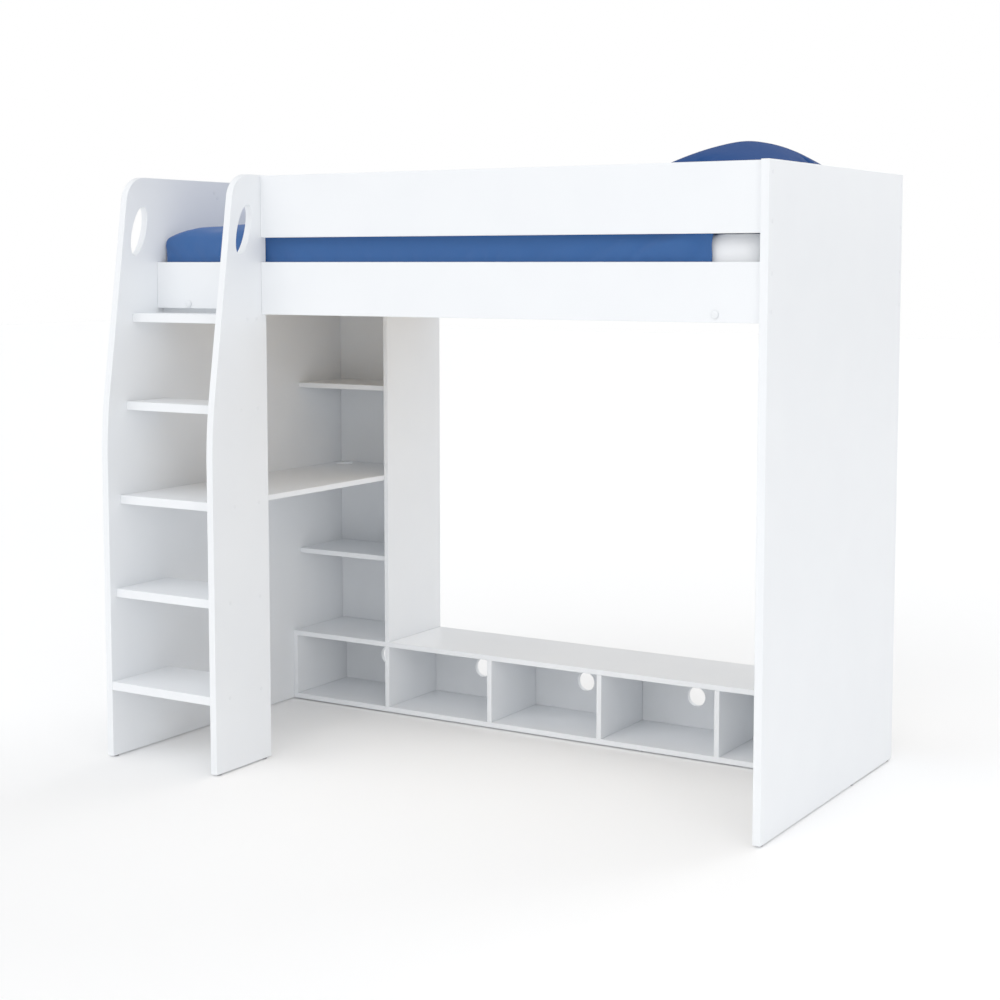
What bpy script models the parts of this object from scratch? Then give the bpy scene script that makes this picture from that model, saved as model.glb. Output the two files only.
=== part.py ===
"""Loft bed with a side ladder, a narrow desk, a bookcase and a row of cubbies.

The bed stands on two end panels. The left one reaches forward past the bed and carries the
ladder together with a second, narrow side panel. Under the bed a bookcase fills the rear left
corner, a desk runs from the bookcase to the ladder, and a low media shelf with five cubbies
runs along the back. A slatted base carries a mattress, a duvet and a pillow.

Metres, +Z up. +X runs from the ladder end to the other end, +Y from front to back. The origin
is on the floor, under the middle of the whole piece.
"""
from math import atan2, cos, pi, radians, sin, tan, tau

import bmesh
import bpy
from mathutils import Matrix, Vector

# Overall sizes
LENGTH = 1.980              # outside of one end panel to outside of the other
BED_DEPTH = 0.960           # front to back of the end panels under the bed
LADDER_REACH = 0.212        # how far the ladder stands out in front of the bed
HEIGHT = 1.698              # floor to the top of the panels

# Boards
PANEL_T = 0.022             # end panels, ladder side and rails
TREAD_T = 0.025             # ladder treads
SHELF_T = 0.016             # desk, shelves and cubbies
EDGE_R = 0.0010             # eased edge of every board
GAP = 0.0003                # left between pieces that touch
GLIDE_H = 0.005             # plastic glides that lift every board off the floor
GLIDE_R = 0.0085
GLIDE_INSET = 0.022         # from a panel's end to the middle of its glide

# Rails
RAIL_SETBACK = 0.012        # rail face behind the front edge of the right end panel
RAIL_DROP = 0.002           # rail top below the panel top
UPPER_RAIL_H = 0.175
RAIL_SLOT = 0.070           # open slot between the two front rails
LOWER_RAIL_H = 0.149
BAY_RAIL_H = 0.135          # shorter rail between the ladder's two sides

# Ladder
LADDER_WIDTH = 0.371        # clear width between the ladder's sides
FIRST_TREAD = 0.228         # floor to the top of the lowest tread
TREAD_COUNT = 5
LAST_RISE = 0.94            # the top rise, as a share of the others
TREAD_BACKSTEP = (0.0, 0.023, 0.048, 0.082, 0.114)   # front edges, from the lowest tread up
BEND_BELOW_TOP = 0.717      # where the ladder sides start to lean back
LEAN = radians(8.7)
LEAN_R = 1.2                # radius that blends the upright edge into the leaning one
TOP_CORNER_R = 0.075
HAND_HOLE_LENGTH = 0.149
HAND_HOLE_WIDTH = 0.056
HAND_HOLE_TILT = radians(18.0)
HAND_HOLE_BELOW_TOP = 0.155
HAND_HOLE_FROM_FRONT = 0.062     # hole centre ahead of the bed's front plane

# Bookcase and desk
UPPER_SHELF_ABOVE_DESK = 0.283
LOWER_SHELF_BELOW_DESK = 0.269
SHELF_RECESS = 0.041        # shelf front behind the divider's front edge
DESK_HOLE_R = 0.029
DESK_HOLE_INSET = 0.049     # cable hole centre from the two walls of its corner

# Cubbies
CUBBY_DEPTH = 0.302
CUBBY_REAR = 0.010          # rear edge ahead of the end panels' rear edge
CUBBY_TOP = 0.233           # floor to the top of the media shelf
BACK_RECESS = 0.028         # back panels' inner face ahead of the cubbies' rear edge
BAY_COUNT = 5
CABLE_HOLE_R = 0.030

# Slatted base
BATTEN_H = 0.040
BATTEN_T = 0.022
SLAT_COUNT = 12
SLAT_WIDTH = 0.090
SLAT_T = 0.018
SLAT_END_CLEARANCE = 0.002
BOLT_R = 0.003
BOLT_HEAD_R = 0.0075
BOLT_HEAD_T = 0.002
BOLT_FROM_END = 0.122       # batten bolts from the inner faces of the end panels
BOLT_LENGTH = 0.036

# Bedding
MATTRESS_H = 0.160
MATTRESS_END_CLEARANCE = 0.018
MATTRESS_SIDE_CLEARANCE = 0.017
MATTRESS_R = 0.025
DUVET_T = 0.034
DUVET_SKIRT_T = 0.012
DUVET_CLEARANCE = 0.002     # duvet to mattress and to rails
DUVET_HANG = 0.105          # skirt below the top of the mattress
DUVET_END = 0.140           # right edge of the duvet from the right end panel
PILLOW_LENGTH = 0.680       # along Y
PILLOW_WIDTH = 0.470        # along X
PILLOW_H = 0.220
PILLOW_FROM_END = 0.012     # pillow edge to the right end panel

# Places that several pieces share, worked out from the sizes above
LEFT = -LENGTH / 2
RIGHT = LENGTH / 2
FRONT = (LADDER_REACH - BED_DEPTH) / 2          # front edge of the right end panel
REAR = FRONT + BED_DEPTH
LADDER_FRONT = FRONT - LADDER_REACH
INNER_LEFT = LEFT + PANEL_T
INNER_RIGHT = RIGHT - PANEL_T
LADDER_SIDE = INNER_LEFT + LADDER_WIDTH         # left face of the inner ladder side
RAIL_FRONT = FRONT + RAIL_SETBACK
RAIL_BACK = RAIL_FRONT + PANEL_T
REAR_RAIL_FRONT = REAR - PANEL_T
RAIL_TOP = HEIGHT - RAIL_DROP
UPPER_RAIL_BOTTOM = RAIL_TOP - UPPER_RAIL_H
LOWER_RAIL_TOP = UPPER_RAIL_BOTTOM - RAIL_SLOT
BASE = LOWER_RAIL_TOP - LOWER_RAIL_H            # underside of the bed
TREAD_RISE = (BASE - FIRST_TREAD) / (TREAD_COUNT - 2 + LAST_RISE)
TREAD_TOPS = [FIRST_TREAD + i * TREAD_RISE for i in range(TREAD_COUNT - 1)] + [BASE]
DESK_TOP = TREAD_TOPS[2]
CUBBY_BACK = REAR - CUBBY_REAR
CUBBY_FRONT = CUBBY_BACK - CUBBY_DEPTH
BACK_FACE = CUBBY_BACK - BACK_RECESS
SLAT_BOTTOM = BASE + BATTEN_H + GAP
SLAT_TOP = SLAT_BOTTOM + SLAT_T
MATTRESS_BOTTOM = SLAT_TOP + GAP
MATTRESS_TOP = MATTRESS_BOTTOM + MATTRESS_H
DUVET_TOP = MATTRESS_TOP + DUVET_CLEARANCE + DUVET_T

# Colours and finishes: linear base colour, roughness, metallic
FINISHES = {
    "white_board": ((0.80, 0.82, 0.83), 0.35, 0.0),
    "slat_wood": ((0.60, 0.42, 0.24), 0.60, 0.0),
    "glide_plastic": ((0.45, 0.45, 0.46), 0.50, 0.0),
    "bolt_steel": ((0.62, 0.63, 0.65), 0.30, 1.0),
    "white_cotton": ((0.78, 0.79, 0.80), 0.90, 0.0),
    "blue_cotton": ((0.045, 0.125, 0.32), 0.90, 0.0),
    "blue_pillow_cotton": ((0.035, 0.105, 0.29), 0.90, 0.0),
}


def clear_scene():
    """Remove every object, so that the script can run twice in one file."""
    for old in list(bpy.data.objects):
        bpy.data.objects.remove(old, do_unlink=True)


def finish_material(name, finish):
    """Give a piece its own Principled material with the finish's colour and gloss."""
    colour, roughness, metallic = FINISHES[finish]
    material = bpy.data.materials.new(name)
    material.use_nodes = True
    shader = material.node_tree.nodes["Principled BSDF"]
    shader.inputs["Base Color"].default_value = (*colour, 1.0)
    shader.inputs["Roughness"].default_value = roughness
    shader.inputs["Metallic"].default_value = metallic
    material.diffuse_color = (*colour, 1.0)
    return material


def add_piece(name, bm, finish, origin=(0.0, 0.0, 0.0), smooth_below=None):
    """Turn a bmesh in world coordinates into a named object whose origin is at origin."""
    bmesh.ops.recalc_face_normals(bm, faces=bm.faces)
    bmesh.ops.translate(bm, verts=bm.verts, vec=-Vector(origin))
    mesh = bpy.data.meshes.new(name)
    bm.to_mesh(mesh)
    bm.free()
    piece = bpy.data.objects.new(name, mesh)
    piece.location = origin
    piece.data.materials.append(finish_material(name, finish))
    bpy.context.scene.collection.objects.link(piece)
    if smooth_below is not None:
        mesh.shade_smooth()
        mesh.set_sharp_from_angle(angle=smooth_below)
    return piece


def box_mesh(low, high):
    """Return a bmesh box between two corners."""
    bm = bmesh.new()
    size = [h - l for l, h in zip(low, high)]
    middle = [(l + h) / 2 for l, h in zip(low, high)]
    bmesh.ops.create_cube(bm, size=1.0, matrix=Matrix.Translation(middle) @ Matrix.Diagonal((*size, 1.0)))
    return bm


def ease_edges(bm, radius, segments=1):
    """Bevel every edge of a bmesh."""
    bmesh.ops.bevel(bm, geom=bm.edges, offset=radius, segments=segments, profile=0.5, affect="EDGES")


def add_board(name, low, high, finish="white_board"):
    """Add a rectangular board between two corners, with eased edges."""
    bm = box_mesh(low, high)
    ease_edges(bm, EDGE_R)
    return add_piece(name, bm, finish, origin=low)


def cylinder_mesh(radius, depth, middle, axis, segments):
    """Return a bmesh cylinder centred on middle and turned to lie along axis."""
    bm = bmesh.new()
    turn = Vector(axis).to_track_quat("Z", "Y").to_matrix().to_4x4()
    bmesh.ops.create_cone(bm, cap_ends=True, segments=segments, radius1=radius, radius2=radius,
                          depth=depth, matrix=Matrix.Translation(middle) @ turn)
    return bm


def cut(piece, cutter_bm, label):
    """Cut a closed bmesh out of a piece with an exact Boolean; the cutter stays as a hidden guide."""
    bmesh.ops.recalc_face_normals(cutter_bm, faces=cutter_bm.faces)
    mesh = bpy.data.meshes.new(f"{label}_cutter")
    cutter_bm.to_mesh(mesh)
    cutter_bm.free()
    cutter = bpy.data.objects.new(f"{label}_cutter", mesh)
    cutter.hide_render = True
    cutter.display_type = "WIRE"
    bpy.context.scene.collection.objects.link(cutter)
    modifier = piece.modifiers.new(label, "BOOLEAN")
    modifier.operation = "DIFFERENCE"
    modifier.solver = "EXACT"
    modifier.object = cutter


def round_corner(before, corner, after, radius, steps):
    """Return the arc points that round one corner of an outline; a zero radius keeps the corner."""
    corner = Vector(corner)
    if radius == 0:
        return [corner]
    to_before = (Vector(before) - corner).normalized()
    to_after = (Vector(after) - corner).normalized()
    half = to_before.angle(to_after) / 2
    centre = corner + (to_before + to_after).normalized() * (radius / sin(half))
    first = corner + to_before * (radius / tan(half)) - centre
    last = corner + to_after * (radius / tan(half)) - centre
    start = atan2(first.y, first.x)
    sweep = (atan2(last.y, last.x) - start + pi) % tau - pi
    return [centre + radius * Vector((cos(start + sweep * i / steps), sin(start + sweep * i / steps)))
            for i in range(steps + 1)]


def rounded_outline(corners):
    """Return the outline of a board from corners given as (y, z, radius, arc steps)."""
    points = []
    for i, (y, z, radius, steps) in enumerate(corners):
        before = corners[i - 1][:2]
        after = corners[(i + 1) % len(corners)][:2]
        points += round_corner(before, (y, z), after, radius, steps)
    return points


def ladder_side_outline(rear):
    """Return the outline of a panel that carries the treads: it leans back above the bend."""
    bend = HEIGHT - BEND_BELOW_TOP
    top_front = LADDER_FRONT + BEND_BELOW_TOP * tan(LEAN)
    return rounded_outline([
        (rear, GLIDE_H + GAP, 0, 0),
        (LADDER_FRONT, GLIDE_H + GAP, 0, 0),
        (LADDER_FRONT, bend, LEAN_R, 5),
        (top_front, HEIGHT, TOP_CORNER_R, 8),
        (rear, HEIGHT, 0, 0),
    ])


def hand_hole_cutter(left, right):
    """Return an elliptical cutter that leans like the hand holes and passes through a panel."""
    bm = cylinder_mesh(1.0, 1.0, (0, 0, 0), (1, 0, 0), 28)
    size = Matrix.Diagonal((right - left + 0.02, HAND_HOLE_WIDTH / 2, HAND_HOLE_LENGTH / 2, 1.0))
    lean = Matrix.Rotation(-HAND_HOLE_TILT, 4, "X")
    place = Matrix.Translation(((left + right) / 2, FRONT - HAND_HOLE_FROM_FRONT, HEIGHT - HAND_HOLE_BELOW_TOP))
    bmesh.ops.transform(bm, matrix=place @ lean @ size, verts=bm.verts)
    return bm


def add_profiled_panel(name, left, right, outline):
    """Add an upright panel: an outline in the YZ plane extruded along X, with eased edges."""
    bm = bmesh.new()
    face = bm.faces.new([bm.verts.new((left, p.x, p.y)) for p in outline])
    extruded = bmesh.ops.extrude_face_region(bm, geom=[face])
    moved = [item for item in extruded["geom"] if isinstance(item, bmesh.types.BMVert)]
    bmesh.ops.translate(bm, verts=moved, vec=(right - left, 0, 0))
    rims = [edge for edge in bm.edges if abs(edge.verts[0].co.x - edge.verts[1].co.x) < EDGE_R]
    bmesh.ops.bevel(bm, geom=rims, offset=EDGE_R, segments=1, affect="EDGES")
    return add_piece(name, bm, "white_board", origin=(left, outline[0].x, outline[0].y))


def make_panels():
    """Two end panels and the ladder's inner side; both ladder sides have a hand hole."""
    left_panel = add_profiled_panel("left_end_panel", LEFT, INNER_LEFT, ladder_side_outline(REAR))
    cut(left_panel, hand_hole_cutter(LEFT, INNER_LEFT), "left_hand_hole")
    side_right = LADDER_SIDE + PANEL_T
    inner_side = add_profiled_panel("ladder_side_panel", LADDER_SIDE, side_right, ladder_side_outline(RAIL_BACK))
    cut(inner_side, hand_hole_cutter(LADDER_SIDE, side_right), "inner_hand_hole")
    add_board("right_end_panel", (INNER_RIGHT, FRONT, GLIDE_H + GAP), (RIGHT, REAR, HEIGHT))


def make_rails():
    """Front rails from the ladder side to the right end, a short one in the ladder bay, and rear rails."""
    front_left = LADDER_SIDE + PANEL_T + GAP
    right = INNER_RIGHT - GAP
    left = INNER_LEFT + GAP
    add_board("upper_front_rail", (front_left, RAIL_FRONT, UPPER_RAIL_BOTTOM), (right, RAIL_BACK, RAIL_TOP))
    lower = add_board("lower_front_rail", (front_left, RAIL_FRONT, BASE), (right, RAIL_BACK, LOWER_RAIL_TOP))
    bay = add_board("ladder_bay_rail", (left, RAIL_FRONT, LOWER_RAIL_TOP - BAY_RAIL_H),
                    (LADDER_SIDE - GAP, RAIL_BACK, LOWER_RAIL_TOP))
    add_board("upper_rear_rail", (left, REAR_RAIL_FRONT, UPPER_RAIL_BOTTOM), (right, REAR, RAIL_TOP))
    add_board("lower_rear_rail", (left, REAR_RAIL_FRONT, BASE), (right, REAR, LOWER_RAIL_TOP))
    return lower, bay


def make_treads():
    """Five treads between the ladder's sides, flush at the back, each shallower than the one below."""
    for i, (top, backstep) in enumerate(zip(TREAD_TOPS, TREAD_BACKSTEP)):
        front = LADDER_FRONT + backstep + GAP
        add_board(f"tread_{i + 1}", (INNER_LEFT + GAP, front, top - TREAD_T), (LADDER_SIDE - GAP, RAIL_BACK, top))


def make_bookcase():
    """Tall divider, back and two shelves in the rear left corner, over the first cubby."""
    bottom = CUBBY_TOP + GAP
    top = BASE - GAP
    left = INNER_LEFT + GAP
    right = LADDER_SIDE - GAP
    add_board("tall_divider", (LADDER_SIDE, CUBBY_FRONT, bottom), (LADDER_SIDE + SHELF_T, CUBBY_BACK, top))
    add_board("bookcase_back", (left, BACK_FACE, bottom), (right, BACK_FACE + SHELF_T, top))
    shelf_front = CUBBY_FRONT + SHELF_RECESS
    for name, height in (("upper_shelf", DESK_TOP + UPPER_SHELF_ABOVE_DESK),
                         ("lower_shelf", DESK_TOP - LOWER_SHELF_BELOW_DESK)):
        add_board(name, (left, shelf_front, height - SHELF_T), (right, BACK_FACE - GAP, height))


def make_desk():
    """Desk top from the third tread back through the bookcase, with a cable hole in its rear corner."""
    desk = add_board("desk_top", (INNER_LEFT + GAP, RAIL_BACK + GAP, DESK_TOP - SHELF_T),
                     (LADDER_SIDE - GAP, BACK_FACE - GAP, DESK_TOP))
    hole = (INNER_LEFT + DESK_HOLE_INSET, BACK_FACE - DESK_HOLE_INSET, DESK_TOP - SHELF_T / 2)
    cut(desk, cylinder_mesh(DESK_HOLE_R, 2 * SHELF_T, hole, (0, 0, 1), 24), "desk_cable_hole")


def cubby_upright_lefts():
    """Return the left faces of the uprights: the second lines up with the divider, the rest are even."""
    last = INNER_RIGHT - SHELF_T - GAP
    pitch = (last - LADDER_SIDE) / (BAY_COUNT - 1)
    return [INNER_LEFT + GAP] + [LADDER_SIDE + i * pitch for i in range(BAY_COUNT)]


def make_cubbies():
    """Media shelf on six uprights over a base board; each bay has a back with a round cable hole."""
    left = INNER_LEFT + GAP
    right = INNER_RIGHT - GAP
    base_bottom = GLIDE_H + GAP
    add_board("media_shelf", (left, CUBBY_FRONT, CUBBY_TOP - SHELF_T), (right, CUBBY_BACK, CUBBY_TOP))
    add_board("cubby_base", (left, CUBBY_FRONT, base_bottom), (right, CUBBY_BACK, base_bottom + SHELF_T))
    bottom = base_bottom + SHELF_T + GAP
    top = CUBBY_TOP - SHELF_T - GAP
    uprights = cubby_upright_lefts()
    for i, x in enumerate(uprights):
        add_board(f"cubby_upright_{i + 1}", (x, CUBBY_FRONT, bottom), (x + SHELF_T, CUBBY_BACK, top))
    for i, (x, next_x) in enumerate(zip(uprights, uprights[1:])):
        bay_left = x + SHELF_T + GAP
        bay_right = next_x - GAP
        back = add_board(f"cubby_back_{i + 1}", (bay_left, BACK_FACE, bottom), (bay_right, BACK_FACE + SHELF_T, top))
        middle = ((bay_left + bay_right) / 2, BACK_FACE + SHELF_T / 2, (bottom + top) / 2)
        cut(back, cylinder_mesh(CABLE_HOLE_R, 2 * SHELF_T, middle, (0, 1, 0), 24), f"cable_hole_{i + 1}")


def make_slatted_base():
    """Battens along the rails and the slats that lie across them."""
    left = INNER_LEFT + GAP
    right = INNER_RIGHT - GAP
    front_batten = add_board("slat_batten_front", (left, RAIL_BACK + GAP, BASE),
                             (right, RAIL_BACK + GAP + BATTEN_T, BASE + BATTEN_H))
    add_board("slat_batten_rear", (left, REAR_RAIL_FRONT - GAP - BATTEN_T, BASE),
              (right, REAR_RAIL_FRONT - GAP, BASE + BATTEN_H))
    pitch = (INNER_RIGHT - INNER_LEFT) / SLAT_COUNT
    for i in range(SLAT_COUNT):
        middle = INNER_LEFT + (i + 0.5) * pitch
        add_board(f"slat_{i + 1:02d}",
                  (middle - SLAT_WIDTH / 2, RAIL_BACK + SLAT_END_CLEARANCE, SLAT_BOTTOM),
                  (middle + SLAT_WIDTH / 2, REAR_RAIL_FRONT - SLAT_END_CLEARANCE, SLAT_TOP), "slat_wood")
    return front_batten


def make_batten_bolts(lower_rail, bay_rail, batten):
    """Two bolts that hold the front batten, with low round heads on the outside of the rails."""
    bay_bottom = LOWER_RAIL_TOP - BAY_RAIL_H
    places = (("batten_bolt_left", bay_rail, INNER_LEFT + BOLT_FROM_END,
               (bay_bottom + BASE + BATTEN_H) / 2),
              ("batten_bolt_right", lower_rail, INNER_RIGHT - BOLT_FROM_END, BASE + BATTEN_H / 2))
    for name, rail, x, z in places:
        head_back = RAIL_FRONT - GAP
        bm = bmesh.new()
        shank_start = head_back - BOLT_HEAD_T
        rings = []
        for y, radius in ((shank_start, BOLT_HEAD_R - BOLT_HEAD_T / 2), (shank_start + BOLT_HEAD_T / 2, BOLT_HEAD_R),
                          (head_back, BOLT_HEAD_R), (head_back, BOLT_R),
                          (head_back + BOLT_LENGTH, BOLT_R)):
            rings.append([bm.verts.new((x + radius * cos(tau * k / 16), y, z + radius * sin(tau * k / 16)))
                          for k in range(16)])
        for ring, after in zip(rings, rings[1:]):
            for k in range(16):
                bm.faces.new((ring[k], ring[(k + 1) % 16], after[(k + 1) % 16], after[k]))
        bm.faces.new(rings[0])
        bm.faces.new(rings[-1])
        add_piece(name, bm, "bolt_steel", origin=(x, head_back, z), smooth_below=radians(40))
        hole_depth = 2 * (BOLT_LENGTH + GAP)
        for board, label in ((rail, f"{name}_rail_hole"), (batten, f"{name}_batten_hole")):
            hole = cylinder_mesh(BOLT_R + GAP, hole_depth, (x, head_back, z), (0, 1, 0), 16)
            cut(board, hole, label)


def make_glides():
    """Round plastic glides under the panels and under the cubby base."""
    left_x = LEFT + PANEL_T / 2
    side_x = LADDER_SIDE + PANEL_T / 2
    right_x = RIGHT - PANEL_T / 2
    front = LADDER_FRONT + GLIDE_INSET
    rear = REAR - GLIDE_INSET
    base_y = CUBBY_FRONT + GLIDE_INSET
    third = (INNER_RIGHT - INNER_LEFT) / 3
    places = {
        "left_front_glide": (left_x, front),
        "left_rear_glide": (left_x, rear),
        "ladder_front_glide": (side_x, front),
        "ladder_rear_glide": (side_x, RAIL_BACK - GLIDE_INSET),
        "right_front_glide": (right_x, FRONT + GLIDE_INSET),
        "right_middle_glide": (right_x, CUBBY_FRONT),
        "right_rear_glide": (right_x, rear),
        "base_left_glide": (INNER_LEFT + third, base_y),
        "base_right_glide": (INNER_RIGHT - third, base_y),
    }
    for name, (x, y) in places.items():
        bm = cylinder_mesh(GLIDE_R, GLIDE_H, (x, y, GLIDE_H / 2), (0, 0, 1), 20)
        rims = [edge for edge in bm.edges if abs(edge.verts[0].co.z - edge.verts[1].co.z) < EDGE_R]
        bmesh.ops.bevel(bm, geom=rims, offset=EDGE_R, segments=1, affect="EDGES")
        add_piece(name, bm, "glide_plastic", origin=(x, y, 0), smooth_below=radians(40))


def make_mattress():
    """Mattress between the rails and the end panels, with rounded edges."""
    low = (INNER_LEFT + MATTRESS_END_CLEARANCE, RAIL_BACK + MATTRESS_SIDE_CLEARANCE, MATTRESS_BOTTOM)
    high = (INNER_RIGHT - MATTRESS_END_CLEARANCE, REAR_RAIL_FRONT - MATTRESS_SIDE_CLEARANCE, MATTRESS_TOP)
    bm = box_mesh(low, high)
    ease_edges(bm, MATTRESS_R, segments=2)
    add_piece("mattress", bm, "white_cotton", origin=low)
    return low, high


def make_duvet(mattress_low, mattress_high):
    """Duvet over the mattress: it hangs over both long sides and the left end, and is open to the right."""
    side = DUVET_CLEARANCE + DUVET_SKIRT_T
    low = (mattress_low[0] - side, mattress_low[1] - side, MATTRESS_TOP - DUVET_HANG)
    high = (INNER_RIGHT - DUVET_END, mattress_high[1] + side, DUVET_TOP)
    bm = box_mesh(low, high)
    uppers = [edge for edge in bm.edges if min(v.co.z for v in edge.verts) > MATTRESS_TOP]
    uprights = [edge for edge in bm.edges if abs(edge.verts[0].co.z - edge.verts[1].co.z) > DUVET_HANG]
    bmesh.ops.bevel(bm, geom=uppers + uprights, offset=DUVET_SKIRT_T, segments=2, profile=0.5, affect="EDGES")
    duvet = add_piece("duvet", bm, "blue_cotton", origin=low)
    room_low = (mattress_low[0] - DUVET_CLEARANCE, mattress_low[1] - DUVET_CLEARANCE, MATTRESS_BOTTOM)
    room_high = (RIGHT, mattress_high[1] + DUVET_CLEARANCE, MATTRESS_TOP + DUVET_CLEARANCE)
    cut(duvet, box_mesh(room_low, room_high), "mattress_room")


def make_pillow():
    """Pillow on the duvet at the right end: a cushion shape that thins towards its four corners."""
    x = INNER_RIGHT - PILLOW_FROM_END - PILLOW_WIDTH / 2
    y = (RAIL_BACK + REAR_RAIL_FRONT) / 2
    z = DUVET_TOP + GAP + PILLOW_H / 2
    bm = bmesh.new()
    bmesh.ops.create_uvsphere(bm, u_segments=28, v_segments=12, radius=1.0)
    for vert in bm.verts:
        across = Vector((vert.co.x, vert.co.y))
        if across.length > 1e-6:
            angle = atan2(across.y, across.x)
            squareness = (abs(cos(angle)) ** 4 + abs(sin(angle)) ** 4) ** -0.25
            across *= squareness
        vert.co.x = x + across.x * PILLOW_WIDTH / 2
        vert.co.y = y + across.y * PILLOW_LENGTH / 2
        vert.co.z = z + vert.co.z * PILLOW_H / 2
    add_piece("pillow", bm, "blue_pillow_cotton", origin=(x, y, z), smooth_below=radians(60))


def main():
    """Build the whole loft bed."""
    clear_scene()
    make_panels()
    lower_rail, bay_rail = make_rails()
    make_treads()
    make_desk()
    make_bookcase()
    make_cubbies()
    front_batten = make_slatted_base()
    make_batten_bolts(lower_rail, bay_rail, front_batten)
    make_glides()
    make_duvet(*make_mattress())
    make_pillow()


main()
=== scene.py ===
"""Looks of a white loft bed with a side ladder, a desk, a bookcase, cubbies and blue bedding.

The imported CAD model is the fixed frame. The plain boards stay as they are and get their finishes
here; the two profiled ladder sides, the screw caps and the bedding are modelled around the frame.
Metres, +Z up, +X from the ladder end to the other end, +Y from front to back.
"""

import logging
from contextlib import contextmanager
from dataclasses import dataclass
from enum import Enum, auto
from math import cos, pi, radians, sin, sqrt, tan, tanh
from typing import Callable, Iterator

import bmesh
import bpy
from mathutils import Euler, Matrix, Vector, noise
from mathutils.bvhtree import BVHTree


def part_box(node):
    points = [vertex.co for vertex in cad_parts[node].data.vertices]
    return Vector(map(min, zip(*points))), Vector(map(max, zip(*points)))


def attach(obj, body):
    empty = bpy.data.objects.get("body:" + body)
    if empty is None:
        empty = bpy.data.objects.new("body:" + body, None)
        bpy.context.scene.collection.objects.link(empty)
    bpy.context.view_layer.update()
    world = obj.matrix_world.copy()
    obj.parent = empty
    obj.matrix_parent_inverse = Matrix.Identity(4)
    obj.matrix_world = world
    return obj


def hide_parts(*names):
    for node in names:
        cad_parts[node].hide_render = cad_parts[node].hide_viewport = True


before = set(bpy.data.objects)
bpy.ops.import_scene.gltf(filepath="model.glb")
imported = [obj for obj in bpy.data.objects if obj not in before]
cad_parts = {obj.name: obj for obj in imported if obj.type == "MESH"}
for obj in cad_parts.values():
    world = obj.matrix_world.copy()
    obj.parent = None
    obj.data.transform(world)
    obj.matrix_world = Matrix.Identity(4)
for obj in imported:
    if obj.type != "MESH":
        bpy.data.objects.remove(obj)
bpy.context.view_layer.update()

MM = 0.001
TINY = 1e-6
BOARD_CREASE = 15.0   # degrees: edges sharper than this stay crisp on a board
CAP_CREASE = 50.0
CLOTH_CREASE = 60.0
FACING = 0.9          # how squarely a face's normal follows an axis to count as facing that way
log = logging.getLogger("loft_bed")

Inputs = dict[str | int, object]


# ---- Modelling helpers ----

def activate(piece: bpy.types.Object) -> None:
    """Select one object alone and make it the active one."""
    bpy.ops.object.select_all(action="DESELECT")
    piece.select_set(True)
    bpy.context.view_layer.objects.active = piece


@contextmanager
def editing(piece: bpy.types.Object, mode: str = "FACE") -> Iterator[None]:
    """Hold a piece in edit mode.

    Args:
        piece: The object to edit.
        mode: Which elements the operators select: VERT, EDGE or FACE.
    """
    activate(piece)
    bpy.ops.object.mode_set(mode="EDIT")
    bpy.ops.mesh.select_mode(type=mode)
    try:
        yield
    finally:
        bpy.ops.object.mode_set(mode="OBJECT")


def pick(piece: bpy.types.Object, kind: str, wanted: Callable[..., bool]) -> None:
    """Select exactly those elements of the piece in edit mode that pass the test.

    Args:
        piece: The object in edit mode.
        kind: Which elements to look at: "faces" or "edges".
        wanted: The test that each element is put to.
    """
    bpy.ops.mesh.select_all(action="DESELECT")
    mesh = bmesh.from_edit_mesh(piece.data)
    for element in getattr(mesh, kind):
        if wanted(element):
            element.select_set(True)
    bmesh.update_edit_mesh(piece.data)


def new_cube(name: str, low: Vector, high: Vector) -> bpy.types.Object:
    """Add a cube primitive between two corners, with its place in its mesh.

    Args:
        name: The object's name.
        low: The lowest corner.
        high: The highest corner.

    Returns:
        The new object, at the origin and unscaled.
    """
    bpy.ops.mesh.primitive_cube_add(size=1.0, location=(low + high) / 2, scale=high - low)
    return settle(bpy.context.active_object, name)


def settle(piece: bpy.types.Object, name: str) -> bpy.types.Object:
    """Name a new piece and move its place, turn and scale into its mesh."""
    piece.name = name
    piece.data.name = name
    activate(piece)
    bpy.ops.object.transform_apply(location=True, rotation=True, scale=True)
    return piece


def apply_modifier(piece: bpy.types.Object, kind: str, **settings: object) -> None:
    """Add a modifier with its settings and apply it at once."""
    modifier = piece.modifiers.new(kind.title(), kind)
    for key, value in settings.items():
        setattr(modifier, key, value)
    activate(piece)
    bpy.ops.object.modifier_apply(modifier=modifier.name)


def shade(piece: bpy.types.Object, degrees: float) -> None:
    """Shade a piece smooth, with every edge sharper than the angle kept crisp."""
    activate(piece)
    bpy.ops.object.shade_smooth_by_angle(angle=radians(degrees))


def place_copy(master: bpy.types.Object, name: str, matrix: Matrix) -> bpy.types.Object:
    """Copy a piece with its own mesh and put the copy where a matrix says."""
    copy = master.copy()
    copy.data = master.data.copy()
    copy.name = name
    copy.data.transform(matrix)
    bpy.context.scene.collection.objects.link(copy)
    return copy


def join(pieces: list[bpy.types.Object], name: str) -> bpy.types.Object:
    """Join several small pieces into one object."""
    activate(pieces[0])
    for piece in pieces:
        piece.select_set(True)
    bpy.ops.object.join()
    pieces[0].name = name
    pieces[0].data.name = name
    return pieces[0]


# ---- Finishes ----

def srgb(code: str) -> tuple[float, float, float, float]:
    """Turn an sRGB hex colour such as "#F4F6F8" into linear RGBA."""
    channels = [int(code[i:i + 2], 16) / 255 for i in (1, 3, 5)]
    linear = [c / 12.92 if c <= 0.04045 else ((c + 0.055) / 1.055) ** 2.4 for c in channels]
    return (linear[0], linear[1], linear[2], 1.0)


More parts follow.
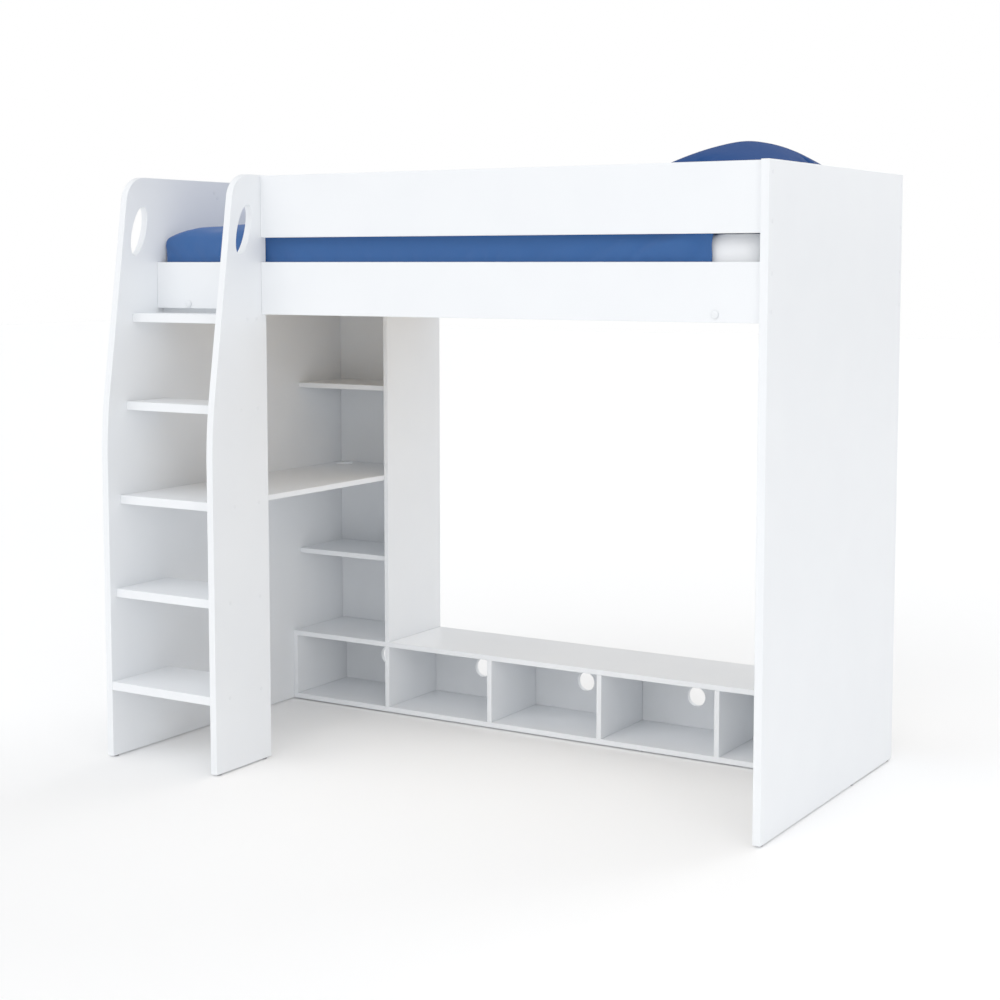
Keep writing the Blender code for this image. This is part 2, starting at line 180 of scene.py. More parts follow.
def feed(tree: bpy.types.NodeTree, node: bpy.types.Node, inputs: Inputs) -> None:
    """Set a node's sockets, each to a constant or to the output socket that feeds it."""
    for socket, value in inputs.items():
        if isinstance(value, bpy.types.NodeSocket):
            tree.links.new(value, node.inputs[socket])
        else:
            node.inputs[socket].default_value = value


def add_node(tree: bpy.types.NodeTree, kind: str, inputs: Inputs | None = None,
             **settings: object) -> bpy.types.Node:
    """Add a node with its settings, constants and links.

    Args:
        tree: The node tree to add to.
        kind: The node's type name.
        inputs: Socket name or index to a constant, or to the output socket that feeds it.
        **settings: The node's own properties.

    Returns:
        The new node.
    """
    node = tree.nodes.new(kind)
    for key, value in settings.items():
        setattr(node, key, value)
    feed(tree, node, inputs or {})
    return node


def blank_material(name: str) -> tuple[bpy.types.Material, bpy.types.NodeTree, bpy.types.Node,
                                       bpy.types.NodeSocket]:
    """Start a material.

    Args:
        name: The material's name.

    Returns:
        The material, its node tree, its Principled shader and the Object coordinates to read.
    """
    material = bpy.data.materials.new(name)
    material.use_nodes = True
    tree = material.node_tree
    place = add_node(tree, "ShaderNodeTexCoord").outputs["Object"]
    return material, tree, tree.nodes["Principled BSDF"], place


@dataclass(frozen=True)
class MelamineBoard:
    """Chipboard faced with melamine paper, pressed with a fine pearl texture.

    It reads as a cool, slightly satin white: reflections are wide and soft, the pearl breaks
    them up, and large areas are never quite the same tone.
    """

    name: str = "melamine_faced_board"
    face: str = "#F1F4F7"
    shade: str = "#ECEFF3"
    pearl: float = 2.5 * MM       # real pearl is about 1 mm, drawn coarser so that it shows
    cloud: float = 160 * MM       # broad, faint change of tone
    satin: tuple[float, float] = (0.34, 0.42)

    def build(self) -> bpy.types.Material:
        """Make the material."""
        material, tree, shader, place = blank_material(self.name)
        cloud = add_node(tree, "ShaderNodeTexNoise",
                         {"Vector": place, "Scale": 1 / self.cloud, "Detail": 2.0}).outputs[0]
        pearl = add_node(tree, "ShaderNodeTexNoise",
                         {"Vector": place, "Scale": 1 / self.pearl, "Detail": 1.0}).outputs[0]
        tone = add_node(tree, "ShaderNodeMix", {0: cloud, 6: srgb(self.shade), 7: srgb(self.face)},
                        data_type="RGBA").outputs[2]
        satin = add_node(tree, "ShaderNodeMapRange",
                         {"Value": pearl, "To Min": self.satin[0], "To Max": self.satin[1]}).outputs[0]
        relief = add_node(tree, "ShaderNodeBump",
                          {"Height": pearl, "Strength": 0.12, "Distance": 0.15 * MM}).outputs[0]
        feed(tree, shader, {"Base Color": tone, "Roughness": satin, "Normal": relief})
        shader.inputs["IOR"].default_value = 1.5
        return material


@dataclass(frozen=True)
class PlanedPine:
    """Planed, unfinished pine: pale early wood with darker late-wood lines along each slat."""

    name: str = "planed_pine"
    early: str = "#E6CDA3"
    late: str = "#C79A62"
    ring: float = 11 * MM         # spacing of the growth lines across a slat
    stretch: float = 0.05         # how slowly the figure changes along the slat
    pore: float = 1.4 * MM

    def build(self) -> bpy.types.Material:
        """Make the material; the slats run along Y."""
        material, tree, shader, place = blank_material(self.name)
        along = add_node(tree, "ShaderNodeMapping",
                         {"Vector": place, "Scale": (1.0, self.stretch, 1.0)}).outputs[0]
        figure = add_node(tree, "ShaderNodeTexWave",
                          {"Vector": along, "Scale": 1 / self.ring / 2 / pi, "Distortion": 7.0,
                           "Detail": 3.0, "Detail Scale": 1.6}, bands_direction="X",
                          wave_profile="SAW").outputs[1]
        pores = add_node(tree, "ShaderNodeTexNoise",
                         {"Vector": along, "Scale": 1 / self.pore, "Detail": 2.0}).outputs[0]
        faded = add_node(tree, "ShaderNodeMath", {0: figure, 1: 0.65}, operation="MULTIPLY").outputs[0]
        tone = add_node(tree, "ShaderNodeMix", {0: faded, 6: srgb(self.early), 7: srgb(self.late)},
                        data_type="RGBA").outputs[2]
        rough = add_node(tree, "ShaderNodeMapRange",
                         {"Value": pores, "To Min": 0.52, "To Max": 0.70}).outputs[0]
        relief = add_node(tree, "ShaderNodeBump",
                          {"Height": pores, "Strength": 0.25, "Distance": 0.3 * MM}).outputs[0]
        feed(tree, shader, {"Base Color": tone, "Roughness": rough, "Normal": relief})
        shader.inputs["IOR"].default_value = 1.5
        return material


@dataclass(frozen=True)
class MouldedPlastic:
    """Injection-moulded plastic with the fine matt grain of the mould."""

    name: str
    colour: str
    deep: str
    gloss: tuple[float, float] = (0.38, 0.5)
    grain: float = 0.9 * MM

    def build(self) -> bpy.types.Material:
        """Make the material."""
        material, tree, shader, place = blank_material(self.name)
        grain = add_node(tree, "ShaderNodeTexNoise",
                         {"Vector": place, "Scale": 1 / self.grain, "Detail": 2.0}).outputs[0]
        tone = add_node(tree, "ShaderNodeMix", {0: grain, 6: srgb(self.deep), 7: srgb(self.colour)},
                        data_type="RGBA").outputs[2]
        rough = add_node(tree, "ShaderNodeMapRange",
                         {"Value": grain, "To Min": self.gloss[0], "To Max": self.gloss[1]}).outputs[0]
        relief = add_node(tree, "ShaderNodeBump",
                          {"Height": grain, "Strength": 0.15, "Distance": 0.1 * MM}).outputs[0]
        feed(tree, shader, {"Base Color": tone, "Roughness": rough, "Normal": relief})
        shader.inputs["IOR"].default_value = 1.49
        return material


@dataclass(frozen=True)
class ZincPlatedSteel:
    """Bright zinc-plated steel: pale, slightly blue metal with a cloudy, spangled gloss."""

    name: str = "zinc_plated_steel"
    bright: str = "#D3D7DC"
    dull: str = "#B4BAC1"
    spangle: float = 2.0 * MM

    def build(self) -> bpy.types.Material:
        """Make the material."""
        material, tree, shader, place = blank_material(self.name)
        spangle = add_node(tree, "ShaderNodeTexVoronoi",
                           {"Vector": place, "Scale": 1 / self.spangle}).outputs[0]
        tone = add_node(tree, "ShaderNodeMix", {0: spangle, 6: srgb(self.dull), 7: srgb(self.bright)},
                        data_type="RGBA").outputs[2]
        rough = add_node(tree, "ShaderNodeMapRange",
                         {"Value": spangle, "To Min": 0.24, "To Max": 0.38}).outputs[0]
        feed(tree, shader, {"Base Color": tone, "Roughness": rough})
        shader.inputs["Metallic"].default_value = 1.0
        return material


@dataclass(frozen=True)
class WovenCotton:
    """Plain-woven cotton: matt, with a soft bloom at grazing angles and slightly uneven dye.

    The threads are about 0.3 mm apart on real bed linen, which is far too fine to show, so the
    weave is drawn at the spacing given here.
    """

    name: str
    colour: str
    deep: str
    bloom: float = 0.12
    shine: float = 0.25
    thread: float = 1.8 * MM
    slub: float = 9 * MM          # thicker stretches of yarn
    cloud: float = 120 * MM       # uneven dye and handling
    relief: float = 0.3

    def build(self) -> bpy.types.Material:
        """Make the material."""
        material, tree, shader, place = blank_material(self.name)
        yarns = [add_node(tree, "ShaderNodeTexWave",
                          {"Vector": place, "Scale": 1 / self.thread / 2 / pi, "Distortion": 0.6,
                           "Detail": 1.0, "Detail Scale": 3.0}, bands_direction=way).outputs[1]
                 for way in ("X", "Y", "Z")]
        pair = add_node(tree, "ShaderNodeMath", {0: yarns[0], 1: yarns[1]}, operation="ADD").outputs[0]
        weave = add_node(tree, "ShaderNodeMath", {0: pair, 1: yarns[2]}, operation="ADD").outputs[0]
        slub = add_node(tree, "ShaderNodeTexNoise",
                        {"Vector": place, "Scale": 1 / self.slub, "Detail": 3.0}).outputs[0]
        cloud = add_node(tree, "ShaderNodeTexNoise",
                         {"Vector": place, "Scale": 1 / self.cloud, "Detail": 3.0}).outputs[0]
        blotch = add_node(tree, "ShaderNodeMix", {0: 0.4, 2: cloud, 3: slub}).outputs[0]
        tone = add_node(tree, "ShaderNodeMix", {0: blotch, 6: srgb(self.deep), 7: srgb(self.colour)},
                        data_type="RGBA").outputs[2]
        rough = add_node(tree, "ShaderNodeMapRange",
                         {"Value": slub, "To Min": 0.78, "To Max": 0.92}).outputs[0]
        thick = add_node(tree, "ShaderNodeBump",
                         {"Height": slub, "Strength": 0.15, "Distance": 1.0 * MM}).outputs[0]
        cloth = add_node(tree, "ShaderNodeBump",
                         {"Height": weave, "Strength": self.relief, "Distance": 0.12 * MM,
                          "Normal": thick}).outputs[0]
        feed(tree, shader, {"Base Color": tone, "Roughness": rough, "Normal": cloth})
        shader.inputs["Sheen Weight"].default_value = self.bloom
        shader.inputs["Sheen Roughness"].default_value = 0.5
        shader.inputs["Specular IOR Level"].default_value = self.shine
        return material


class Finishes:
    """Every finish of the bed, made once."""

    def __init__(self) -> None:
        """Build the materials."""
        self.board = MelamineBoard().build()
        self.pine = PlanedPine().build()
        self.glide = MouldedPlastic("moulded_grey_polyethylene", "#8F9091", "#7E7F81").build()
        self.cap = MouldedPlastic("moulded_white_abs", "#EEF1F4", "#E4E8EC").build()
        self.steel = ZincPlatedSteel().build()
        self.ticking = WovenCotton("mattress_ticking", "#E9E9E6", "#DCDCD8", thread=3.0 * MM).build()
        self.sheet = WovenCotton("white_percale", "#FCFDFF", "#F5F8FB", bloom=0.05).build()
        self.duvet = WovenCotton("blue_duvet_cotton", "#24508F", "#214A86").build()
        # The pillow is the duvet's blue cotton; its two colours are set darker as painted shade for faces
        # seen at a slant.
        self.pillow = WovenCotton("blue_pillow_cotton", "#183B76", "#15356C",
                                  bloom=0.0, shine=0.1).build()


def dress(piece: bpy.types.Object, material: bpy.types.Material) -> None:
    """Give a piece one material."""
    piece.data.materials.clear()
    piece.data.materials.append(material)


# ---- Boards and hardware ----

class Part(Enum):
    """What a CAD node is, which decides its finish."""

    SLAT = auto()
    GLIDE = auto()
    BOLT = auto()
    SOFT = auto()
    BOARD = auto()

    @classmethod
    def of(cls, node: str) -> "Part":
        """Return what the node with this name is."""
        if node in ("mattress", "duvet", "pillow"):
            return cls.SOFT
        if node.startswith("slat_") and "batten" not in node:
            return cls.SLAT
        if node.endswith("_glide"):
            return cls.GLIDE
        return cls.BOLT if node.startswith("batten_bolt") else cls.BOARD


@dataclass
class CadBoards:
    """The CAD nodes that stay as they are and only get their finish."""

    finishes: Finishes

    def dress(self) -> None:
        """Give every kept node its material."""
        looks = {Part.SLAT: self.finishes.pine, Part.GLIDE: self.finishes.glide,
                 Part.BOLT: self.finishes.steel, Part.BOARD: self.finishes.board}
        for name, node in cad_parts.items():
            part = Part.of(name)
            if part in looks:
                dress(node, looks[part])
        log.info("dressed the kept CAD nodes")


@dataclass
class LadderSides:
    """The two profiled boards that carry the treads, with a lean, a round corner and a hand hole."""

    finishes: Finishes
    bend_below_top: float = 0.717     # where the front edge starts to lean back
    lean: float = radians(8.7)
    lean_radius: float = 1.2
    lean_steps: int = 12
    corner_radius: float = 0.075
    corner_steps: int = 24
    hole_length: float = 0.149
    hole_width: float = 0.056
    hole_tilt: float = radians(18.0)
    hole_below_top: float = 0.155
    hole_from_front: float = 0.150    # hole centre behind the front of the ladder
    hole_steps: int = 72
    easing: float = 1.2 * MM          # the small round along every edge
    easing_steps: int = 2
    easing_angle: float = radians(40)

    def shape(self, name: str, node: str) -> None:
        """Model one side around its CAD node.

        Args:
            name: The new piece's name.
            node: The CAD node whose box it fills.
        """
        low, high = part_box(node)
        board = new_cube(name, low, high)
        bend = high.z - self.bend_below_top
        top_front = low.y + self.bend_below_top * tan(self.lean)
        with editing(board, "EDGE"):
            bpy.ops.mesh.select_all(action="SELECT")
            bpy.ops.mesh.bisect(plane_co=(low.x, low.y, bend), use_fill=True, clear_outer=True,
                                plane_no=(0.0, -cos(self.lean), sin(self.lean)))
            corners = ((low.y, bend, self.lean_radius * tan(self.lean / 2), self.lean_steps),
                       (top_front, high.z, self.corner_radius * tan(pi / 4 - self.lean / 2),
                        self.corner_steps))
            for y, z, offset, steps in corners:
                place = Vector((y, z))
                pick(board, "edges", lambda edge: all((end.co.yz - place).length < MM
                                                      for end in edge.verts))
                bpy.ops.mesh.bevel(offset=offset, segments=steps, affect="EDGES")
        self.cut_hand_hole(board, low, high)
        apply_modifier(board, "BEVEL", width=self.easing, segments=self.easing_steps,
                       limit_method="ANGLE", angle_limit=self.easing_angle)
        shade(board, BOARD_CREASE)
        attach(board, "frame")
        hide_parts(node)
        dress(board, self.finishes.board)

    def cut_hand_hole(self, board: bpy.types.Object, low: Vector, high: Vector) -> None:
        """Cut the leaning oval hand hole through a side between its two faces."""
        bpy.ops.mesh.primitive_cylinder_add(vertices=self.hole_steps, radius=0.5, depth=1.0)
        cutter = bpy.context.active_object
        size = Matrix.Diagonal((self.hole_width, self.hole_length, 3 * (high.x - low.x), 1.0))
        centre = Vector(((low.x + high.x) / 2, low.y + self.hole_from_front,
                         high.z - self.hole_below_top))
        lie = Matrix(((0, 0, 1, 0), (1, 0, 0, 0), (0, 1, 0, 0), (0, 0, 0, 1)))
        turn = Matrix.Rotation(-self.hole_tilt, 4, "X")
        cutter.data.transform(Matrix.Translation(centre) @ turn @ lie @ size)
        apply_modifier(board, "BOOLEAN", operation="DIFFERENCE", solver="EXACT", object=cutter)
        bpy.data.objects.remove(cutter, do_unlink=True)

    def build(self) -> None:
        """Model both sides."""
        for name, node in (("left_ladder_side", "left_end_panel"),
                           ("inner_ladder_side", "ladder_side_panel")):
            self.shape(name, node)
            log.info("modelled %s", name)


@dataclass
class ScrewCaps:
    """Low white caps over the screws that hold the treads and the rails.

    Attributes:
        dome: Steps of a cap's domed top, each an inset and a lift, as shares of its radius and rise.
        front_line: The line, behind the ladder's front, that the lower treads' front screws keep.
        plugs: Places of the two plugs on the left panel, behind its front and below its top.
    """

    finishes: Finishes
    treads: int = 5
    radius: float = 5.5 * MM
    rise: float = 0.9 * MM
    cover_radius: float = 10 * MM     # the wider covers over the batten bolts
    cover_rise: float = 3.0 * MM
    steps: int = 32
    dome: tuple[tuple[float, float], ...] = ((0.12, 0.22), (0.25, 0.18), (0.3, 0.1))
    from_rail_edge: float = 0.028
    tread_front_inset: float = 0.046
    tread_rear_inset: float = 0.044
    front_line: float = 0.062
    plugs: tuple[tuple[float, float], ...] = ((0.489, 0.035), (0.503, 0.050))

    def master(self, radius: float, rise: float) -> bpy.types.Object:
        """Model one domed cap that stands on the XY plane.

        Args:
            radius: The cap's radius.
            rise: Its height in the middle.

        Returns:
            The cap, which is copied and then removed.
        """
        bpy.ops.mesh.primitive_cylinder_add(vertices=self.steps, radius=radius, depth=rise / 2,
                                            location=(0, 0, rise / 4))
        cap = settle(bpy.context.active_object, "cap_master")
        with editing(cap, "FACE"):
            pick(cap, "faces", lambda face: face.normal.z > FACING)
            for inset, lift in self.dome:
                bpy.ops.mesh.inset(thickness=radius * inset)
                bpy.ops.transform.translate(value=(0, 0, rise * lift))
        shade(cap, CAP_CREASE)
        dress(cap, self.finishes.cap)
        return cap

    def places(self) -> dict[str, list[tuple[Vector, Vector]]]:
        """Return the caps of each panel face as points with the direction that they face."""
        left_low, left_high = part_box("left_end_panel")
        side_low, side_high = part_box("ladder_side_panel")
        right_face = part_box("right_end_panel")[1].x
        out_left, out_right = Vector((-1, 0, 0)), Vector((1, 0, 0))
        treads = []
        for i in range(1, self.treads + 1):
            low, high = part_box(f"tread_{i}")
            front = max(side_low.y + self.front_line, low.y + self.tread_front_inset)
            treads += [(y, (low.z + high.z) / 2) for y in (front, high.y - self.tread_rear_inset)]
        rails = {name: self.rail_ends(name) for name in ("upper_front_rail", "lower_front_rail",
                                                         "ladder_bay_rail", "upper_rear_rail",
                                                         "lower_rear_rail")}
        rear = rails["upper_rear_rail"] + rails["lower_rear_rail"]
        front = rails["upper_front_rail"] + rails["lower_front_rail"]
        return {
            "left_panel_plugs": [(Vector((left_high.x, left_low.y + y, left_high.z - z)), out_right)
                                 for y, z in self.plugs],
            "left_panel_caps": [(Vector((left_low.x, y, z)), out_left)
                                for y, z in treads + rails["ladder_bay_rail"] + rear],
            "ladder_side_caps": [(Vector((side_high.x, y, z)), out_right) for y, z in treads],
            "ladder_bay_caps": [(Vector((side_low.x, y, z)), out_left) for y, z in front],
            "right_panel_caps": [(Vector((right_face, y, z)), out_right) for y, z in front + rear],
        }

    def rail_ends(self, rail: str) -> list[tuple[float, float]]:
        """Return where a rail's two screws go through a panel, as Y and Z."""
        low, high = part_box(rail)
        y = (low.y + high.y) / 2
        return [(y, low.z + self.from_rail_edge), (y, high.z - self.from_rail_edge)]

    def build(self) -> None:
        """Model the screw caps and the two wider covers over the batten bolts."""
        cap = self.master(self.radius, self.rise)
        for group, spots in self.places().items():
            copies = [place_copy(cap, f"{group}_{i}", Matrix.Translation(point)
                                 @ way.to_track_quat("Z", "Y").to_matrix().to_4x4())
                      for i, (point, way) in enumerate(spots)]
            caps = join(copies, group)
            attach(caps, "frame")
            log.info("modelled %s: %d caps", group, len(spots))
        bpy.data.objects.remove(cap, do_unlink=True)
        cover = self.master(self.cover_radius, self.cover_rise)
        for side in ("left", "right"):
            low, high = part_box(f"batten_bolt_{side}")
            centre = Vector(((low.x + high.x) / 2, low.y, (low.z + high.z) / 2))
            piece = place_copy(cover, f"{side}_bolt_cover", Matrix.Translation(centre)
                               @ Vector((0, -1, 0)).to_track_quat("Z", "Y").to_matrix().to_4x4())
            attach(piece, "frame")
            log.info("modelled %s", piece.name)
        bpy.data.objects.remove(cover, do_unlink=True)


# ---- Bedding ----

@dataclass(frozen=True)
class Swell:
    """How the cloth solver fills a soft piece.

    Attributes:
        pressure: Air pressure inside.
        frames: How many frames it runs.
        cap: How far a point may move, in metres.
        growth: How much longer than its mesh the cloth is cut, which makes it crease.
        tension: Stiffness against stretching.
        bending: Stiffness against folding.
        shear: Stiffness against slanting.
        mass: Mass of one point, in kg.
        damping: How much the air slows the cloth.
        quality: Solver steps for each frame.
    """

    pressure: float
    frames: int
    cap: float
    growth: float = 0.0
    tension: float = 15.0
    bending: float = 0.5
    shear: float = 5.0
    mass: float = 0.3
    damping: float = 2.0
    quality: int = 5

    def run(self, piece: bpy.types.Object, held: Callable[[Vector], float]) -> None:
        """Fill a piece and keep the result, with each point's travel limited.

        Args:
            piece: The closed mesh to fill.
            held: How firmly a point is held where it is, from 0 to 1.
        """
        scene = bpy.context.scene
        start = [vert.co.copy() for vert in piece.data.vertices]
        group = piece.vertex_groups.new(name="held")
        for vert in piece.data.vertices:
            group.add([vert.index], held(vert.co), "REPLACE")
        cloth = piece.modifiers.new("Cloth", "CLOTH")
        cloth.collision_settings.use_collision = False
        cloth.point_cache.frame_start = 1
        cloth.point_cache.frame_end = self.frames
        settings = cloth.settings
        settings.quality = self.quality
        settings.mass = self.mass
        settings.air_damping = self.damping
        settings.tension_stiffness = settings.compression_stiffness = self.tension
        settings.shear_stiffness = self.shear
        settings.bending_stiffness = self.bending
        settings.vertex_group_mass = group.name
        settings.shrink_min = -self.growth
        settings.use_pressure = True
        settings.uniform_pressure_force = self.pressure
        settings.effector_weights.gravity = 0.0
        for number in range(1, self.frames + 1):
            scene.frame_set(number)
        swollen = piece.evaluated_get(bpy.context.evaluated_depsgraph_get())
        ends = [vert.co.copy() for vert in swollen.data.vertices]
        piece.modifiers.remove(cloth)
        piece.vertex_groups.clear()
        scene.frame_set(1)
        for vert, before, after in zip(piece.data.vertices, start, ends):
            travel = after - before
            if travel.length > 0:
                vert.co = before + travel.normalized() * self.cap * tanh(travel.length / self.cap)
        piece.data.update()


def fade(distance: float, reach: float) -> float:
    """Return 1 at no distance, easing to 0 at the reach."""
    share = min(max(1 - distance / reach, 0.0), 1.0)
    return share * share * (3 - 2 * share)


def ripple(u: float, v: float, scale: tuple[float, float, float], shift: float = 0.0) -> float:
    """Return smooth noise over two directions.

    Args:
        u: Place along the first direction.
        v: Place along the second.
        scale: Ripples for each metre in both directions, and the slice of noise that is read.
        shift: How far the pattern is moved here.
    """
    return noise.noise(Vector((u * scale[0] + shift, v * scale[1] + shift, scale[2])))


@dataclass
class Mattress:
    """A foam mattress in a cotton ticking, under a stretched fitted sheet."""

    finishes: Finishes
    inset: float = 3.5 * MM       # how much smaller than its room it's cut, before it swells
    edge_radius: float = 0.030
    edge_steps: int = 4
    voxel: float = 0.014
    held_below: float = 0.03      # the underside is held, up to this height
    room_low: float = 1 * MM      # how far it stays inside its room at the low sides
    room_high: float = 2 * MM     # and at the high sides, where the sheet lies over it
    smoothing: float = 0.5
    smoothings: int = 3
    sheet_lift: float = 1.2 * MM
    sheet_thickness: float = 0.8 * MM
    tuck: float = 0.060           # how far the sheet reaches in under the mattress
    pull: float = 1.2 * MM        # how deep the sheet's creases are at the corners
    pull_reach: float = 0.28
    pull_scale: tuple[float, float] = (26, 9)   # creases for each metre: level, upright
    swell: Swell = Swell(pressure=4.0, frames=12, cap=3.0 * MM)

    def build(self) -> None:
        """Model the mattress, then the sheet from its finished surface."""
        low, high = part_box("mattress")
        shrink = Vector((self.inset,) * 3)
        pad = new_cube("foam_mattress", low + shrink, high - shrink)
        apply_modifier(pad, "BEVEL", width=self.edge_radius, segments=self.edge_steps)
        apply_modifier(pad, "REMESH", mode="VOXEL", voxel_size=self.voxel)
        self.swell.run(pad, held=lambda point: fade(point.z - low.z, self.held_below))
        for vert in pad.data.vertices:
            vert.co = Vector(max(least + self.room_low, min(most - self.room_high, at))
                             for least, most, at in zip(low, high, vert.co))
        apply_modifier(pad, "SMOOTH", factor=self.smoothing, iterations=self.smoothings)
        shade(pad, CLOTH_CREASE)
        skin = place_copy(pad, "fitted_sheet", Matrix.Identity(4))
        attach(pad, "mattress")
        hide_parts("mattress")
        dress(pad, self.finishes.ticking)
        log.info("modelled foam_mattress: %d points", len(pad.data.vertices))
        self.make_sheet(skin, low, high)

    def make_sheet(self, skin: bpy.types.Object, low: Vector, high: Vector) -> None:
        """Make the fitted sheet: a thin skin over the mattress, open underneath.

        Args:
            skin: A copy of the finished mattress.
            low: The lowest corner of the mattress's room.
            high: The highest corner.
        """
        inner_low, inner_high = low + Vector((self.tuck,) * 3), high - Vector((self.tuck,) * 3)
        with editing(skin, "FACE"):
            pick(skin, "faces", lambda face: face.normal.z < -FACING and all(
                inner_low[k] < face.calc_center_median()[k] < inner_high[k] for k in (0, 1)))
            bpy.ops.mesh.delete(type="FACE")
        corners = [Vector((x, y)) for x in (low.x, high.x) for y in (low.y, high.y)]
        normals = [vert.normal.copy() for vert in skin.data.vertices]
        for vert, normal in zip(skin.data.vertices, normals):
            flat = Vector((vert.co.x, vert.co.y))
            share = max(fade((flat - corner).length, self.pull_reach) for corner in corners)
            level, upright = self.pull_scale
            crease = noise.noise(Vector((vert.co.x * level, vert.co.y * level, vert.co.z * upright)))
            vert.co += normal * (self.sheet_lift + crease * self.pull * share)
        apply_modifier(skin, "SOLIDIFY", thickness=self.sheet_thickness, offset=0.0)
        shade(skin, CLOTH_CREASE)
        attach(skin, "mattress")
        dress(skin, self.finishes.sheet)


@dataclass
class Duvet:
    """A thin duvet that lies over the mattress and hangs down between it and the rails."""

    finishes: Finishes
    pitch: float = 0.014          # spacing of the mesh before it is subdivided
    side_clearance: float = 2.0 * MM
    top_clearance: float = 6.0 * MM
    shoulder: float = 0.022       # how tightly it folds over the mattress's edges
    shoulder_steps: int = 5
    filling: float = 0.026        # thickness on top
    skirt: float = 0.010          # thickness where it hangs
    end_drop: float = 0.030       # how far it sinks towards the ladder end
    end_reach: float = 0.200
    puff: float = 0.010           # how much it rises where it's plumpest, near the ladder end
    puff_from: float = 0.04       # how far behind the ladder end the rise starts
    puff_to: float = 0.40         # the X at which it has died out
    puff_slope: float = 0.25      # how long it takes to rise and to fall
    side_drop: float = 0.012      # how far it sinks towards its long sides
    side_reach: float = 0.10
    end_round: float = 2.44       # how round the fall is at the end and at the sides
    side_round: float = 2.4
    hem_reach: float = 0.12       # how far in from the hem at the pillow its wave is felt
    hem_back: float = 4 * MM
    hem_wave: float = 5 * MM
    hem_scale: tuple[float, float, float] = (9, 30, 0.3)
    skirt_below: float = 0.045    # how far below the top the thin skirt begins
    skirt_blend: float = 0.03
    edge_blend: float = 0.05      # how far in from its edges it has its full thickness
    lining_lift: float = 2.5 * MM     # how far above the sheet the lining lies
    lining_probe: float = 2.0     # a height above the whole bed
    lining_reach: float = 0.04    # how deep in the mattress a point may be and still be lifted
    skirt_hold: float = 0.85      # how firmly the lowest edges are held while it's filled
    skirt_held: float = 0.06
    level: float = 0.3            # faces that point up less than this get no creases
    ridge: float = 4.0 * MM       # height of the long creases
    ridge_drop: float = 2.5 * MM  # how far the duvet lies lower between them
    ridge_crisp: int = 6
    ridge_scale: tuple[float, float, float] = (3.1, 6.0, 0.5)
    warp: float = 0.35            # how far the creases wander from straight
    warp_scale: float = 1.7
    wrinkle: float = 0.8 * MM     # height of the fine wrinkles
    wrinkle_scale: tuple[float, float, float] = (14, 22, 2.5)
    calm_edge: float = 0.06       # the creases fade out this close to the edges
    swell: Swell = Swell(pressure=1.5, frames=20, cap=7.0 * MM, growth=0.03)

    def build(self) -> None:
        """Model the duvet."""
        low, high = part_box("duvet")
        low = low + Vector((self.side_clearance, self.side_clearance, 0))
        high = high - Vector((0, self.side_clearance, self.top_clearance))
        duvet = new_cube("blue_duvet", low, high)
        with editing(duvet, "FACE"):
            pick(duvet, "faces", lambda face: face.normal.z < -FACING or face.normal.x > FACING)
            bpy.ops.mesh.delete(type="FACE")
            bpy.ops.mesh.select_mode(type="EDGE")
            pick(duvet, "edges", lambda edge: self.is_shoulder(
                edge.verts[0].co, edge.verts[1].co, low, high))
            bpy.ops.mesh.bevel(offset=self.shoulder, segments=self.shoulder_steps, affect="EDGES")
        self.grid(duvet, low, high)
        self.crown(duvet, low, high)
        self.thicken(duvet, low, high)
        outer = len(duvet.data.vertices) // 2
        self.lift_lining(duvet, outer)
        skin = {tuple(vert.co) for vert in duvet.data.vertices[:outer]}
        self.swell.run(duvet, held=lambda point: self.hold(point, tuple(point) in skin, low))
        self.crease(duvet, low, high)
        apply_modifier(duvet, "SUBSURF", levels=1, render_levels=1)
        shade(duvet, CLOTH_CREASE)
        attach(duvet, "duvet")
        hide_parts("duvet")
        dress(duvet, self.finishes.duvet)
        log.info("modelled blue_duvet: %d faces", len(duvet.data.polygons))

    @staticmethod
    def is_shoulder(a: Vector, b: Vector, low: Vector, high: Vector) -> bool:
        """Tell whether an edge lies between two of the duvet's faces, and not on its hem."""
        on_top = min(a.z, b.z) > high.z - MM
        at_left = max(a.x, b.x) < low.x + MM
        upright = abs(a.z - b.z) > MM
        along = abs(a.x - b.x) > MM
        return (on_top and (along or at_left)) or (upright and at_left)

    def grid(self, duvet: bpy.types.Object, low: Vector, high: Vector) -> None:
        """Cut the duvet's faces into an even grid with evenly spaced planes."""
        with editing(duvet, "FACE"):
            for axis, first, last in ((0, low.x + self.shoulder, high.x),
                                      (1, low.y + self.shoulder, high.y - self.shoulder),
                                      (2, low.z, high.z - self.shoulder)):
                steps = round((last - first) / self.pitch)
                normal = [0.0, 0.0, 0.0]
                normal[axis] = 1.0
                for i in range(1, steps):
                    point = [0.0, 0.0, 0.0]
                    point[axis] = first + (last - first) * i / steps
                    bpy.ops.mesh.select_all(action="SELECT")
                    bpy.ops.mesh.bisect(plane_co=point, plane_no=normal)

    def crown(self, duvet: bpy.types.Object, low: Vector, high: Vector) -> None:
        """Let the top sink towards the ladder end and the long sides, and make the hem uneven."""
        for vert in duvet.data.vertices:
            share = min(max((vert.co.z - low.z) / (high.z - low.z), 0.0), 1.0)
            end = max(1 - (vert.co.x - low.x) / self.end_reach, 0.0) ** self.end_round
            inward = min(vert.co.y - low.y, high.y - vert.co.y)
            side = max(1 - inward / self.side_reach, 0.0) ** self.side_round
            vert.co.z -= share * max(self.end_drop * end, self.side_drop * side)
            start = max((vert.co.x - low.x - self.puff_from) / self.puff_slope, 0.0)
            finish = max((self.puff_to - vert.co.x) / self.puff_slope, 0.0)
            vert.co.z += share * self.puff * min(start, finish, 1.0) * (1 - side)
            hem = fade(high.x - vert.co.x, self.hem_reach)
            wave = ripple(vert.co.y, vert.co.z, self.hem_scale)
            vert.co.x -= hem * (self.hem_back + self.hem_wave * wave)

